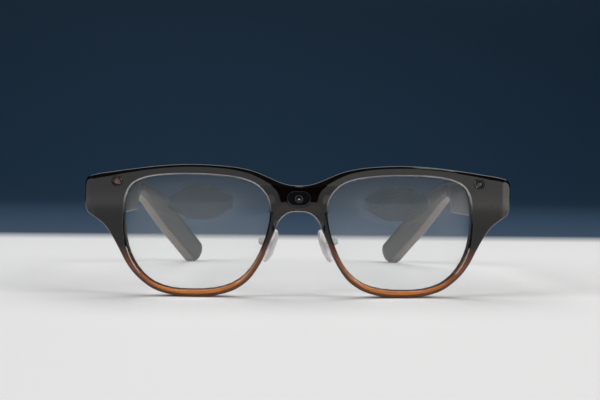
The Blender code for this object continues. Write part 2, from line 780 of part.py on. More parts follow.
axis = TURN @ Vector((0, 1, 0))
pivot("nose_pivot_left", PAD_PIVOT, axis)
pivot("nose_pivot_right", (-PAD_PIVOT[0], PAD_PIVOT[1], PAD_PIVOT[2]), (-axis[0], axis[1], axis[2]))


def squashed_ball(name, half_x, half_y, half_z, centre):
    bm = bmesh.new()
    bmesh.ops.create_uvsphere(bm, u_segments=18, v_segments=10, radius=1.0)
    for vert in bm.verts:
        p = vert.co
        # a fuller outline than an ellipse
        k = 1 / (abs(p.y) ** 2.4 + abs(p.z) ** 2.4 + abs(p.x) ** 2.4) ** (1 / 2.4)
        vert.co = Vector((
            (centre[0] + p.x * k * half_x) * MM,
            (centre[1] + p.y * k * half_y) * MM,
            (centre[2] + p.z * k * half_z) * MM,
        ))
    return to_object(name, bm)


pad = squashed_ball("nose_pad_left", 1.35, 3.5, 6.2, (-2.7, 0, 0))
cut(pad, box("core_pocket", (-2.7, 0), (-2.1, 2.1), (-4.4, 4.4), 0.3, 1))
both(moved(pad, pad_frame), "silicone_clear", "nose_pivot")
core = box("nose_pad_core_left", (-2.4, -1.5), (-1.8, 1.8), (-4.1, 4.1), 0.2, 1)
join(
    core,
    box("cheek", (-2.0, 0.8), (-1.8, -1.2), (-0.9, 0.9)),
    box("cheek", (-2.0, 0.8), (1.2, 1.8), (-0.9, 0.9)),
)
both(moved(core, pad_frame), "gold_core", "nose_pivot")

arm = face_form(box("nose_arm_left", (10.6, 13.2), (6.7, 7.8), (17.9, 21.2), 0.3, 1))
boss = moved(rod("boss", "y", (0, 0), 0.95, -0.9, 0.9, segments=16), pad_frame)
reach = box("reach", (0.0, 1.7), (-0.85, 0.85), (-0.7, 0.7), 0.0)
moved(reach, pad_frame)
post = box("post", (12.4, 13.9), (7.2, 12.2), (18.3, 20.0), 0.2, 1)
join(arm, post, reach, boss)
both(arm, "arm_clear")

for left_over in list(cutters.objects):
    left_over.hide_render = True
    left_over.display_type = "WIRE"
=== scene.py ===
"""Looks for the smart glasses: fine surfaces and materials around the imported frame."""

import json
import math

import bmesh
import bpy
from mathutils import Matrix, Vector


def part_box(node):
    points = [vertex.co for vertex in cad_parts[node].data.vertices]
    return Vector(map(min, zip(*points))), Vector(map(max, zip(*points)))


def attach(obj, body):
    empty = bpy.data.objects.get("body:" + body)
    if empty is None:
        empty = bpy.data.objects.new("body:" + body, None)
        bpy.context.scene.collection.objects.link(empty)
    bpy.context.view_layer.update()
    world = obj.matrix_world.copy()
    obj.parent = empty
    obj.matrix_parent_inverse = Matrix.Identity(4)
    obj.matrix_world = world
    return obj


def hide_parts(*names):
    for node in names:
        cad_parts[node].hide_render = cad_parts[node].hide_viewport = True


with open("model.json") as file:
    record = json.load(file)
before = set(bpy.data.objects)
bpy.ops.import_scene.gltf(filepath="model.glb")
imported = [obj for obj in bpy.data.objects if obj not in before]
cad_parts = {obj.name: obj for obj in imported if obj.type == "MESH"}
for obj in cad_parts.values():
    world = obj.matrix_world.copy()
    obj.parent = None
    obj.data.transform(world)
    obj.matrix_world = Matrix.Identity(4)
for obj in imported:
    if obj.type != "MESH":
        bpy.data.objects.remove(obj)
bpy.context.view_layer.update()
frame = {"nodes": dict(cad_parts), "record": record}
nodes = frame["nodes"]

MM = 0.001
FRONT_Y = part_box("front_frame")[0].y / MM  # the front plane, in millimetres
FACE_FORM = math.tan(math.radians(4.5))
FRONT_DEPTH = 6.4
INNER_X = 66.5
BLOCK_REAR = 13.5

HALF_OUTLINE = [
    (0, 38.9), (3.5, 39.1), (7, 40.15), (10, 41.45), (15, 43.5), (20.5, 44.8), (28, 45.6), (37, 45.9),
    (46, 45.5), (56, 44.4), (65, 43.1), (71, 42.1), (73.3, 41.2), (74.1, 39.5), (74.2, 35.5),
    (74.1, 31.5), (73.2, 29), (70.8, 27.3), (67.5, 24.7), (65, 21.2), (62.5, 16.8), (60, 12),
    (57.5, 8.4), (54, 5), (50, 2.4), (44, 0.6), (36, 0), (28, 0.7), (22, 2.6), (17.5, 5.7),
    (14.5, 9.5), (12, 14), (10.4, 18), (8.8, 21.7), (7, 25.8), (5.2, 28.1), (3, 29.4), (0, 29.7),
]
LENS_OUTLINE = [
    (9.9, 29.5), (10.4, 33.5), (12.2, 36.7), (15, 39.2), (19.5, 40.9), (26, 41.9), (37, 42.4),
    (48, 42), (54, 40.8), (57.6, 38.8), (59.6, 35.6), (60.4, 31), (60.3, 23), (59.4, 17.4),
    (57.4, 12.4), (54.2, 7.9), (50, 4.7), (44, 2.8), (37, 2.4), (29, 2.9), (23, 4.7),
    (18.4, 8), (15, 12.7), (12.6, 17.8), (10.8, 23.4),
]
CAMERA_CENTRE = (0.0, 34.2)
WINDOW_CENTRE = (62.9, 39.9)
HINGE_Y = 14.0


# ---------------------------------------------------------------- materials


class Nodes:
    """A small helper that builds a node tree a step at a time."""

    def __init__(self, name):
        self.mat = bpy.data.materials.new(name)
        self.mat.use_nodes = True
        self.tree = self.mat.node_tree
        self.shader = self.tree.nodes["Principled BSDF"]
        self.out = self.tree.nodes["Material Output"]
        self.coord = self.add("ShaderNodeTexCoord")

    def add(self, kind, **values):
        node = self.tree.nodes.new(kind)
        for key, value in values.items():
            setattr(node, key, value)
        return node

    def link(self, a, b):
        self.tree.links.new(a, b)

    def set(self, **values):
        for key, value in values.items():
            self.shader.inputs[key.replace("_", " ")].default_value = value

    def noise(self, scale, detail=3.0, rough=0.5, source="Object", stretch=None):
        node = self.add("ShaderNodeTexNoise")
        node.inputs["Scale"].default_value = scale
        node.inputs["Detail"].default_value = detail
        node.inputs["Roughness"].default_value = rough
        where = self.coord.outputs[source]
        if stretch:
            mapping = self.add("ShaderNodeMapping")
            mapping.inputs["Scale"].default_value = stretch
            self.link(where, mapping.inputs["Vector"])
            where = mapping.outputs["Vector"]
        self.link(where, node.inputs["Vector"])
        return node.outputs["Fac"]

    def ramp(self, fac, stops, mode="EASE"):
        node = self.add("ShaderNodeValToRGB")
        node.color_ramp.interpolation = mode
        while len(node.color_ramp.elements) < len(stops):
            node.color_ramp.elements.new(0.5)
        for element, (place, colour) in zip(node.color_ramp.elements, stops):
            element.position = place
            element.color = (*colour, 1) if len(colour) == 3 else colour
        self.link(fac, node.inputs["Fac"])
        return node.outputs["Color"]

    def spread(self, fac, low, high, source_low=0.3, source_high=0.7):
        node = self.add("ShaderNodeMapRange")
        node.inputs["From Min"].default_value = source_low
        node.inputs["From Max"].default_value = source_high
        node.inputs["To Min"].default_value = low
        node.inputs["To Max"].default_value = high
        self.link(fac, node.inputs["Value"])
        return node.outputs["Result"]

    def bump(self, height, distance, strength=0.5):
        node = self.add("ShaderNodeBump")
        node.inputs["Strength"].default_value = strength
        node.inputs["Distance"].default_value = distance
        self.link(height, node.inputs["Height"])
        self.link(node.outputs["Normal"], self.shader.inputs["Normal"])

    def height(self, low, high):
        """Nothing at this height in millimetres, one at that."""
        split = self.add("ShaderNodeSeparateXYZ")
        self.link(self.coord.outputs["Object"], split.inputs[0])
        return self.spread(split.outputs["Z"], 0.0, 1.0, low * MM, high * MM)

    def mix(self, fac, a, b, blend="MIX"):
        node = self.add("ShaderNodeMix", data_type="RGBA", blend_type=blend)
        if isinstance(fac, float):
            node.inputs["Factor"].default_value = fac
        else:
            self.link(fac, node.inputs["Factor"])
        for socket, value in ((node.inputs[6], a), (node.inputs[7], b)):
            if isinstance(value, tuple):
                socket.default_value = (*value, 1)
            else:
                self.link(value, socket)
        return node.outputs[2]


def acetate(name="acetate", ior=1.49, coat=0.0):
    """Polished sheet acetate: black at the brow, translucent amber low on the rims."""
    n = Nodes(name)
    cloud = n.noise(55, 4, 0.55)
    split = n.add("ShaderNodeSeparateXYZ")
    n.link(n.coord.outputs["Object"], split.inputs[0])
    drift = n.add("ShaderNodeMath", operation="MULTIPLY_ADD")
    drift.inputs[1].default_value = 0.0016
    n.link(cloud, drift.inputs[0])
    n.link(split.outputs["Z"], drift.inputs[2])
    side = n.add("ShaderNodeMath", operation="ABSOLUTE")
    n.link(split.outputs["X"], side.inputs[0])
    lift = n.add("ShaderNodeMath", operation="SUBTRACT")
    n.link(drift.outputs[0], lift.inputs[0])
    n.link(n.spread(side.outputs[0], 0.0024, 0.0, 0.014, 0.036), lift.inputs[1])
    fade = n.spread(lift.outputs[0], 0.0, 1.0, 0.0, 0.022)
    colour = n.ramp(
        fade,
        [(0.0, (0.86, 0.31, 0.070)), (0.16, (0.70, 0.235, 0.052)), (0.38, (0.33, 0.095, 0.022)),
         (0.60, (0.14, 0.038, 0.010)), (0.84, (0.0022, 0.0018, 0.0016)), (1.0, (0.0012, 0.0011, 0.0011))],
        "LINEAR",
    )
    clear = n.ramp(fade, [(0.0, (0.45,) * 3), (0.4, (0.30,) * 3), (0.75, (0.0,) * 3)], "LINEAR")
    streak = n.noise(240, 2, 0.5, stretch=(1, 1, 2.5))
    # Faces turned downwards are mixed towards a near-black brown: painted shade on the lower bevels.
    facing = n.add("ShaderNodeSeparateXYZ")
    n.link(n.coord.outputs["Normal"], facing.inputs[0])
    under = n.spread(facing.outputs["Z"], 0.0, 0.80, -0.12, -0.42)
    colour = n.mix(under, colour, (0.020, 0.008, 0.006))
    n.link(n.mix(n.spread(streak, 0.0, 0.22), colour, (0.012, 0.005, 0.003)), n.shader.inputs["Base Color"])
    n.link(clear, n.shader.inputs["Transmission Weight"])
    n.link(n.spread(n.noise(900, 3), 0.035, 0.070), n.shader.inputs["Roughness"])
    n.set(IOR=ior, Coat_Weight=coat, Coat_IOR=1.7, Coat_Roughness=0.03)
    n.bump(n.noise(160, 2), 0.00002, 0.10)
    return n.mat


def satin(name, colour, dark, rough=(0.26, 0.36), grain=2600, coat=0.0):
    n = Nodes(name)
    n.link(n.mix(n.spread(n.noise(70, 4, 0.6), 0.0, 1.0), colour, dark), n.shader.inputs["Base Color"])
    n.link(n.spread(n.noise(400, 3), *rough), n.shader.inputs["Roughness"])
    n.set(IOR=1.5, Coat_Weight=coat)
    n.bump(n.noise(grain, 2, 0.6), 0.00001, 0.10)
    return n.mat


def satin_with_inner_shade(name, colour, inner, rough, coat):
    """Satin plastic whose inner face, towards the head, is painted darker: the inner colour is painted shade."""
    n = Nodes(name)
    where = n.add("ShaderNodeSeparateXYZ")
    n.link(n.coord.outputs["Object"], where.inputs[0])
    facing = n.add("ShaderNodeSeparateXYZ")
    n.link(n.coord.outputs["Normal"], facing.inputs[0])
    inward = n.add("ShaderNodeMath", operation="MULTIPLY")
    n.link(where.outputs["X"], inward.inputs[0])
    n.link(facing.outputs["X"], inward.inputs[1])
    # Faces turned towards the head get the darker colour: painted shade on the inner side.
    inner_shade_mask = n.spread(inward.outputs[0], 0.0, 1.0, -0.024, -0.036)
    cloud = n.spread(n.noise(60, 4, 0.6), 0.0, 1.0)
    outer_tone = n.mix(cloud, colour, tuple(c * 0.95 for c in colour))
    inner_shade_tone = n.mix(cloud, inner, tuple(c * 0.92 for c in inner))
    n.link(n.mix(inner_shade_mask, outer_tone, inner_shade_tone), n.shader.inputs["Base Color"])
    n.link(n.spread(n.noise(1800, 3), *rough), n.shader.inputs["Roughness"])
    n.set(IOR=1.5, Coat_Weight=coat)
    n.bump(n.noise(7000, 2, 0.6), 0.000002, 0.05)
    return n.mat


def metal(name, colour, rough, stretch=(12, 1, 12), scale=90):
    n = Nodes(name)
    grain = n.noise(scale, 4, 0.6, stretch=stretch)
    light = tuple(min(1.0, c * 1.03) for c in colour)
    shade = tuple(c * 0.95 for c in colour)
    n.link(n.mix(n.spread(grain, 0.0, 1.0), shade, light), n.shader.inputs["Base Color"])
    n.link(n.spread(grain, *rough), n.shader.inputs["Roughness"])
    n.set(Metallic=1.0)
    n.bump(grain, 0.000002, 0.06)
    return n.mat


def edge_painted_highlight(name, low, high):
    """A painted highlight on an edge: bright metallic grey at the top, fading to plain black downwards."""
    n = Nodes(name)
    split = n.add("ShaderNodeSeparateXYZ")
    n.link(n.coord.outputs["Object"], split.inputs[0])
    fade = n.spread(split.outputs["Z"], 0.0, 1.0, low, high)
    grain = n.noise(700, 3, 0.6)
    n.link(n.ramp(fade, [(0.0, (0.004, 0.004, 0.004)), (1.0, (0.40, 0.40, 0.41))]), n.shader.inputs["Base Color"])
    n.link(fade, n.shader.inputs["Metallic"])
    n.link(n.spread(grain, 0.08, 0.18), n.shader.inputs["Roughness"])
    n.set(IOR=1.49)
    return n.mat


def clear_glass(name, tint, ior=1.22, haze=(0.010, 0.024), shadow=0.92):
    """Coated glass: little reflection, a faint uneven bloom, and light let through to the table."""
    n = Nodes(name)
    film = n.noise(38, 4, 0.6)
    n.link(n.mix(n.spread(film, 0.0, 1.0), tint, tuple(c * 0.985 for c in tint)), n.shader.inputs["Base Color"])
    n.link(n.spread(film, 0.0, 0.02), n.shader.inputs["Roughness"])
    n.set(IOR=ior, Transmission_Weight=1.0)
    bloom = n.add("ShaderNodeBsdfDiffuse")
    bloom.inputs["Color"].default_value = (0.74, 0.84, 0.90, 1)
    dull = n.add("ShaderNodeMixShader")
    n.link(n.spread(film, *haze), dull.inputs[0])
    n.link(n.shader.outputs[0], dull.inputs[1])
    n.link(bloom.outputs[0], dull.inputs[2])
    path = n.add("ShaderNodeLightPath")
    through = n.add("ShaderNodeBsdfTransparent")
    through.inputs["Color"].default_value = (shadow, shadow, shadow, 1)
    mix = n.add("ShaderNodeMixShader")
    n.link(path.outputs["Is Shadow Ray"], mix.inputs[0])
    n.link(dull.outputs[0], mix.inputs[1])
    n.link(through.outputs[0], mix.inputs[2])
    n.link(mix.outputs[0], n.out.inputs["Surface"])
    return n.mat


def grating():
    """A thin film of fine ruled lines: mostly clear, greyer than the lens around it."""
    n = Nodes("grating")
    wave = n.add("ShaderNodeTexWave", wave_type="BANDS", bands_direction="DIAGONAL")
    wave.inputs["Scale"].default_value = 1600
    n.link(n.coord.outputs["Object"], wave.inputs["Vector"])
    cloud = n.noise(90, 3, 0.5)
    shade = n.mix(n.spread(cloud, 0.0, 1.0), (0.028, 0.035, 0.036), (0.034, 0.039, 0.038))
    n.link(shade, n.shader.inputs["Base Color"])
    n.link(n.spread(wave.outputs["Fac"], 0.41, 0.44, 0.0, 1.0), n.shader.inputs["Alpha"])
    n.set(Roughness=0.30, IOR=1.25)
    n.bump(wave.outputs["Fac"], 0.000002, 0.04)
    return n.mat


def black_glass(name, colour=(0.004, 0.004, 0.005), rough=(0.02, 0.05)):
    n = Nodes(name)
    cloud = n.noise(300, 3)
    n.link(n.mix(n.spread(cloud, 0.0, 1.0), colour, tuple(c * 1.5 for c in colour)), n.shader.inputs["Base Color"])
    n.link(n.spread(cloud, *rough), n.shader.inputs["Roughness"])
    n.set(IOR=1.52)
    return n.mat


def silicone(name="silicone", tint=(0.95, 0.94, 0.97), see=0.22, ior=1.41):
    n = Nodes(name)
    cloud = n.noise(220, 4, 0.6)
    n.link(n.mix(n.spread(cloud, 0.0, 1.0), tint, tuple(c * 0.92 for c in tint)), n.shader.inputs["Base Color"])
    n.link(n.spread(cloud, 0.08, 0.22), n.shader.inputs["Roughness"])
    n.set(IOR=ior, Transmission_Weight=see)
    n.bump(n.noise(1500, 2), 0.00001, 0.15)
    return n.mat


def board():
    n = Nodes("board")
    cells = n.add("ShaderNodeTexVoronoi", feature="DISTANCE_TO_EDGE")
    cells.inputs["Scale"].default_value = 700
    n.link(n.coord.outputs["Object"], cells.inputs["Vector"])
    tracks = n.spread(cells.outputs["Distance"], 0.0, 1.0, 0.02, 0.06)
    n.link(n.mix(tracks, (0.35, 0.22, 0.06), (0.008, 0.09, 0.04)), n.shader.inputs["Base Color"])
    n.set(Roughness=0.4)
    n.bump(tracks, 0.00004, 0.4)
    return n.mat


def woven():
    n = Nodes("speaker_weave")
    wave = n.add("ShaderNodeTexChecker")
    wave.inputs["Scale"].default_value = 3500
    n.link(n.coord.outputs["Object"], wave.inputs["Vector"])
    n.link(n.mix(wave.outputs["Fac"], (0.03, 0.03, 0.03), (0.22, 0.22, 0.23)), n.shader.inputs["Base Color"])
    n.set(Metallic=0.8, Roughness=0.42)
    n.bump(wave.outputs["Fac"], 0.00008, 0.6)
    return n.mat


MATS = {
    "frame_gloss": acetate(),
    # Painted highlights for the lens chamfer and the bridge arch: bright at the top, black lower down.
    "chamfer_painted_glint": edge_painted_highlight("edge_painted_highlight", 0.029, 0.039),
    "arch_painted_glint": edge_painted_highlight("arch_painted_highlight", 0.024, 0.0285),
    "lens_clear": clear_glass("lens_glass", (0.986, 0.986, 0.984), haze=(0.024, 0.038)),
    "waveguide_glass": clear_glass("plate_glass", (0.984, 0.985, 0.984), 1.18, (0.002, 0.006)),
    "grating_film": grating(),
    "black_plastic": satin("moulded_black", (0.016, 0.015, 0.015), (0.024, 0.022, 0.021), (0.28, 0.4)),
    "dark_glass": black_glass("dark_window"),
    "sensor_glass": black_glass("pink_window", (0.085, 0.046, 0.040), (0.08, 0.16)),
    "hinge_steel": metal("hinge_steel_mat", (0.50, 0.50, 0.51), (0.24, 0.30)),
    "gold_core": metal("gold_core_mat", (0.80, 0.38, 0.14), (0.20, 0.30)),
    "silicone_clear": silicone(),
    "arm_clear": silicone("arm_plastic", (0.88, 0.89, 0.91), 0.62, 1.46),
    # Temple and ear-tip inner faces carry painted shade.
    "temple_satin": satin_with_inner_shade("temple_satin_mat", (0.134, 0.107, 0.093), (0.026, 0.023, 0.021), (0.27, 0.31), 0.1),
    "tip_satin": satin_with_inner_shade("tip_satin_mat", (0.168, 0.137, 0.121), (0.026, 0.023, 0.021), (0.29, 0.33), 0.05),
    "circuit_board": board(),
    "flex_film": satin("flex_film_mat", (0.42, 0.20, 0.05), (0.30, 0.13, 0.03), (0.25, 0.4)),
    "battery_foil": metal("battery_foil_mat", (0.62, 0.63, 0.65), (0.25, 0.4), (3, 1, 3), 500),
    "alloy_housing": metal("alloy_mat", (0.45, 0.46, 0.48), (0.3, 0.42), (1, 1, 1), 1800),
    "speaker_body": satin("speaker_mat", (0.05, 0.05, 0.052), (0.03, 0.03, 0.03), (0.4, 0.55)),
    "mesh_steel": woven(),
    "light_pipe": satin("light_pipe_mat", (0.70, 0.42, 0.36), (0.55, 0.32, 0.28), (0.15, 0.25)),
    "button_gloss": satin("button_mat", (0.035, 0.030, 0.028), (0.025, 0.022, 0.02), (0.12, 0.2), coat=0.4),
}
slot_of = {s["node"]: s["material_slot"] for s in frame["record"]["subparts"]}
for name, obj in nodes.items():
    obj.data.materials.clear()
    obj.data.materials.append(MATS[slot_of[name]])


# ---------------------------------------------------------------- shape helpers


def place(x, y, z):
    return Vector((x * MM, (FRONT_Y + y) * MM, z * MM))


def add_piece(name, bm, body, slot, replaces=(), angle=28.0, recalc=True):
    bmesh.ops.remove_doubles(bm, verts=bm.verts, dist=2e-6)
    if recalc:
        bmesh.ops.recalc_face_normals(bm, faces=bm.faces)
    mesh = bpy.data.meshes.new(name)
    bm.to_mesh(mesh)
    bm.free()
    obj = bpy.data.objects.new(name, mesh)
    bpy.context.scene.collection.objects.link(obj)
    mesh.materials.append(MATS[slot])
    mesh.shade_smooth()
    mesh.set_sharp_from_angle(angle=math.radians(angle))
    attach(obj, body)
    if replaces:
        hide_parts(*replaces)
    return obj


def smooth_path(points, closed, step):
    """A centripetal Catmull-Rom curve through the points."""
    count = len(points)
    found = []

    def mix(p, q, low, high, t):
        w = (t - low) / (high - low)
        return (p[0] * (1 - w) + q[0] * w, p[1] * (1 - w) + q[1] * w)

    for i in range(count if closed else count - 1):
        if closed:
            a, b, c, d = (points[(i + k) % count] for k in (-1, 0, 1, 2))
        else:
            b, c = points[i], points[i + 1]
            a = points[i - 1] if i else (-c[0], c[1])
            d = points[i + 2] if i + 2 < count else (-b[0], b[1])
        pieces = max(1, round(math.dist(b, c) / step))
        ab, bc, cd = (math.sqrt(math.dist(p, q)) for p, q in ((a, b), (b, c), (c, d)))
        t1, t2, t3 = ab, ab + bc, ab + bc + cd
        for k in range(pieces):
            t = t1 + bc * k / pieces
            a1, a2, a3 = mix(a, b, 0, t1, t), mix(b, c, t1, t2, t), mix(c, d, t2, t3, t)
            found.append(mix(mix(a1, a2, 0, t2, t), mix(a2, a3, t1, t3, t), t1, t2, t))
    if not closed:
        found.append(points[-1])
    return found


def outward(points, i, closed, clockwise=True):
    """Unit normal out of a loop; a half outline ends square to the middle plane."""
    count = len(points)
    if not closed and i in (0, count - 1):
        return (0.0, 1.0) if i == 0 else (0.0, -1.0)
    (px, pz), (nx, nz) = points[i - 1], points[(i + 1) % count]
    dx, dz = nx - px, nz - pz
    size = math.hypot(dx, dz) or 1.0
    return (-dz / size, dx / size) if clockwise else (dz / size, -dx / size)


def ease(t):
    t = min(max(t, 0.0), 1.0)
    return t * t * (3 - 2 * t)


def soft_step(d, radius):
    """max(d, 0) with a small round where it turns."""
    if d <= -radius:
        return 0.0
    if d >= radius:
        return d
    return (d + radius) ** 2 / (4 * radius)


def turned(x):
    return FACE_FORM * max(0.0, abs(x) - 8.0)


def panel_edge(z):
    """Half width of the flat bridge panel at this height."""
    return 6.0 + 0.30 * max(0.0, z - 31.0) + 0.10 * max(0.0, z - 35.0) ** 2 if z < 39 else 10.0


def front_surface(x, z):
    """How far behind the front plane the front face lies."""
    x = abs(x)
    edge = min(panel_edge(z), 9.4)
    start = 6.0 + (edge - 6.0) * ease((z - 35.5) / 3.5) * (1 - ease((x - 9.6) / 6.0))
    back = FACE_FORM * max(0.0, x - start) * ease((x - edge + 0.15) / 0.8)
    under = (1 - ease((x - 4.6) / 5.2)) * ease((z - 19.0) / 8.0)
    back += min(0.42 * soft_step(32.1 - z, 0.2), 1.05) * under
    back += 0.055 * max(0.0, x - 71.4) ** 2
    return back


# ---------------------------------------------------------------- front frame

STEP = 0.55
half = smooth_path(HALF_OUTLINE, False, STEP)
lens_fine = smooth_path(LENS_OUTLINE, True, 0.25)
CENTRE = (35.0, 28.0)

lens_polar = sorted(
    (math.atan2(z - CENTRE[1], x - CENTRE[0]), math.hypot(x - CENTRE[0], z - CENTRE[1]))
    for x, z in lens_fine
)


def lens_radius(angle):
    low, high = 0, len(lens_polar) - 1
    first, last = lens_polar[0], lens_polar[-1]
    if angle <= first[0] or angle >= last[0]:
        span = first[0] + 2 * math.pi - last[0]
        w = ((angle - last[0]) % (2 * math.pi)) / span
        return last[1] * (1 - w) + first[1] * w
    while high - low > 1:
        mid = (low + high) // 2
        if lens_polar[mid][0] <= angle:
            low = mid
        else:
            high = mid
    a, b = lens_polar[low], lens_polar[high]
    w = (angle - a[0]) / (b[0] - a[0])
    return a[1] * (1 - w) + b[1] * w


BROW_BEVEL = [
    (0, 0.75), (4, 0.95), (9.4, 1.95), (13, 1.55), (18, 1.2), (27, 0.95), (40, 0.92), (52, 1.0),
    (60, 1.25), (67, 1.5), (71, 1.55), (73.2, 1.1), (74.2, 0.55),
]


def top_bevel(x, z):
    """Width of the front bevel: broad by the bridge and at the ends of the brow, narrow elsewhere."""
    if z < 38.5:
        return 0.45 + 0.80 * (1 - ease((z - 3.0) / 13.0))
    for (ax, a), (bx, b) in zip(BROW_BEVEL, BROW_BEVEL[1:]):
        if ax <= x <= bx:
            return a + (b - a) * ease((x - ax) / (bx - ax))
    return 0.45


def build_front():
    bm = bmesh.new()
    count = len(half)
    columns = []
    for k, (x, z) in enumerate(half):
        nx, nz = outward(half, k, False)
        b = top_bevel(x, z)
        columns.append((x, z, nx, nz, b, True))
    low = 29.7 + top_bevel(0, 29.7)
    high = 38.9 - top_bevel(0, 38.9)
    middle = max(6, round((high - low) / (STEP * 1.4)))
    for k in range(1, middle):
        columns.append((0.0, low + (high - low) * k / middle, 0.0, 0.0, 0.0, False))

    inner = []
    for x, z, nx, nz, b, edge in columns:
        fx, fz = x - nx * b, z - nz * b
        angle = math.atan2(fz - CENTRE[1], fx - CENTRE[0])
        r = lens_radius(angle)
        inner.append((CENTRE[0] + r * math.cos(angle), CENTRE[1] + r * math.sin(angle)))
    inner_normals = [outward(inner, i, True) for i in range(len(inner))]

    front_rows = 14
    rear_rows = 10
    rings = []
    for (x, z, nx, nz, b, edge), (lx, lz), (mx, mz) in zip(columns, inner, inner_normals):
        rear_seat = turned(lx)
        column = []

        def put(px, pz, y):
            column.append(bm.verts.new(place(px, y, pz)))

        def lens_point(by):
            return lx + mx * by, lz + mz * by

        sx, sz = lens_point(1.0)
        # rear edge of the seat, seat wall, seat floor, lip wall, polished chamfer
        put(sx + mx * 0.15, sz + mz * 0.15, FRONT_DEPTH + turned(sx))
        put(sx, sz, FRONT_DEPTH - 0.15 + turned(sx))
        put(sx, sz, 2.0 + turned(sx))
        put(lx, lz, 2.0 + rear_seat)
        base = front_surface(lx, lz)
        put(lx, lz, 0.62 + base)
        put(*lens_point(0.05), 0.46 + front_surface(*lens_point(0.05)))
        px, pz = lens_point(0.42)
        put(px, pz, 0.07 + front_surface(px, pz))
        px, pz = lens_point(0.52)
        fx, fz = x - nx * b, z - nz * b
        for row in range(front_rows + 1):
            w = row / front_rows
            qx, qz = px * (1 - w) + fx * w, pz * (1 - w) + fz * w
            put(qx, qz, front_surface(qx, qz))
        start_rear = len(column)
        ox, oz = x - nx * 0.7, z - nz * 0.7
        if edge:
            face = front_surface(fx, fz)
            deep = b * 0.62
            rear = FRONT_DEPTH + turned(x)
            back = rear
            if x > INNER_X:
                back = rear + (BLOCK_REAR - rear) * ease((x - INNER_X) / 0.25 + 1)
            for inset, y in (
                (b * 0.97, face + deep * 0.05), (b * 0.62, face + deep * 0.5),
                (min(0.36, b * 0.6 - 0.02), face + deep), (0.20, face + deep + 0.13),
                (0.09, face + deep + 0.27), (0.0, face + deep + 0.55),
            ):
                put(x - nx * inset, z - nz * inset, y)
            for w in (0.33, 0.66):
                put(x, z, face + deep + 0.55 + (back - 0.6 - face - deep - 0.55) * w)
            for inset, y in ((0.0, back - 0.6), (0.05, back - 0.35), (0.17, back - 0.16), (0.35, back - 0.04)):
                put(x - nx * inset, z - nz * inset, y)
        else:
            ox, oz = x, 30.4 + (38.2 - 30.4) * (z - low) / (high - low)
        # rear face, from the outer edge back to the seat, with the step of the endpiece
        ix, iz = sx + mx * 0.15, sz + mz * 0.15
        stops = [r / rear_rows for r in range(rear_rows + 1)]
        if edge and ox > INNER_X + 0.3:
            step_at = (ox - INNER_X) / (ox - ix)
            step_low = (ox - (INNER_X - 0.02)) / (ox - ix)
            stops = [step_at * r / 4 for r in range(5)] + [
                step_low + (1 - step_low) * r / (rear_rows - 5) for r in range(rear_rows - 4)
            ]
        for w in stops:
            qx, qz = ox * (1 - w) + ix * w, oz * (1 - w) + iz * w
            y = FRONT_DEPTH + turned(qx)
            if edge and qx > INNER_X - 0.005:
                y = BLOCK_REAR
            put(qx, qz, y)
        rings.append((column, start_rear, edge))

    total = len(rings)
    for i in range(total):
        a, a_rear, a_edge = rings[i]
        b, b_rear, b_edge = rings[(i + 1) % total]
        for r in range(a_rear - 1):
            face = bm.faces.new((a[r], a[r + 1], b[r + 1], b[r]))
            # Chamfer rows above 28 mm take the painted highlight material.
            face.material_index = int(r in (4, 5) and a[r].co.z > 0.028)
        tail = rear_rows + 1
        if a_edge and b_edge:
            for r in range(a_rear - 1, len(a) - 1):
                face = bm.faces.new((a[r], a[r + 1], b[r + 1], b[r]))
                # The lower bevel of the bridge arch takes the painted highlight material.
                low_arch = a[r].co.z < 0.0312 and a[r].co.x < 0.0082
                face.material_index = 2 if low_arch and r - a_rear in (0, 1, 2) else 0
        else:
            for r in range(tail - 1):
                ia, ib = len(a) - tail + r, len(b) - tail + r
                bm.faces.new((a[ia], a[ia + 1], b[ib + 1], b[ib]))
        bm.faces.new((a[-1], a[0], b[0], b[-1]))
    # the other half, joined on the middle plane
    bmesh.ops.remove_doubles(bm, verts=bm.verts, dist=1e-6)
    for vert in bm.verts:
        if abs(vert.co.x) < 2e-6:
            vert.co.x = 0.0
    twin = bmesh.ops.duplicate(bm, geom=bm.verts[:] + bm.edges[:] + bm.faces[:])
    verts = [g for g in twin["geom"] if isinstance(g, bmesh.types.BMVert)]
    faces = [g for g in twin["geom"] if isinstance(g, bmesh.types.BMFace)]
    for vert in verts:
        vert.co.x = -vert.co.x
    bmesh.ops.reverse_faces(bm, faces=faces)
    bmesh.ops.remove_doubles(bm, verts=bm.verts, dist=1e-6)
    bmesh.ops.recalc_face_normals(bm, faces=bm.faces)
    return bm


def cutter(name, bm):
    bmesh.ops.recalc_face_normals(bm, faces=bm.faces)
    mesh = bpy.data.meshes.new(name)
    bm.to_mesh(mesh)
    bm.free()
    obj = bpy.data.objects.new(name, mesh)
    bpy.context.scene.collection.objects.link(obj)
    return obj


def prism(loop, low, high, form=True):
    """A solid with this outline in x and z, between two depths, following the face form."""
    bm = bmesh.new()
    rings = []
    for y in (low, high):
        rings.append([bm.verts.new(place(x, y + (turned(x) if form else 0), z)) for x, z in loop])
    count = len(loop)
    for i in range(count):
        j = (i + 1) % count
        bm.faces.new((rings[0][i], rings[0][j], rings[1][j], rings[1][i]))
    bm.faces.new(rings[0])
    bm.faces.new(rings[1][::-1])
    return bm


def circle(centre, radius, count=48):
    return [
        (centre[0] + radius * math.cos(2 * math.pi * i / count), centre[1] + radius * math.sin(2 * math.pi * i / count))
        for i in range(count)
    ]


def pill(width, height, centre, count=20):
    r = height / 2
    reach = width / 2 - r
    right = [
        (centre[0] + reach + r * math.cos(a), centre[1] + r * math.sin(a))
        for a in (math.pi * (i / count - 0.5) for i in range(count + 1))
    ]
    return right + [(2 * centre[0] - x, 2 * centre[1] - z) for x, z in right]


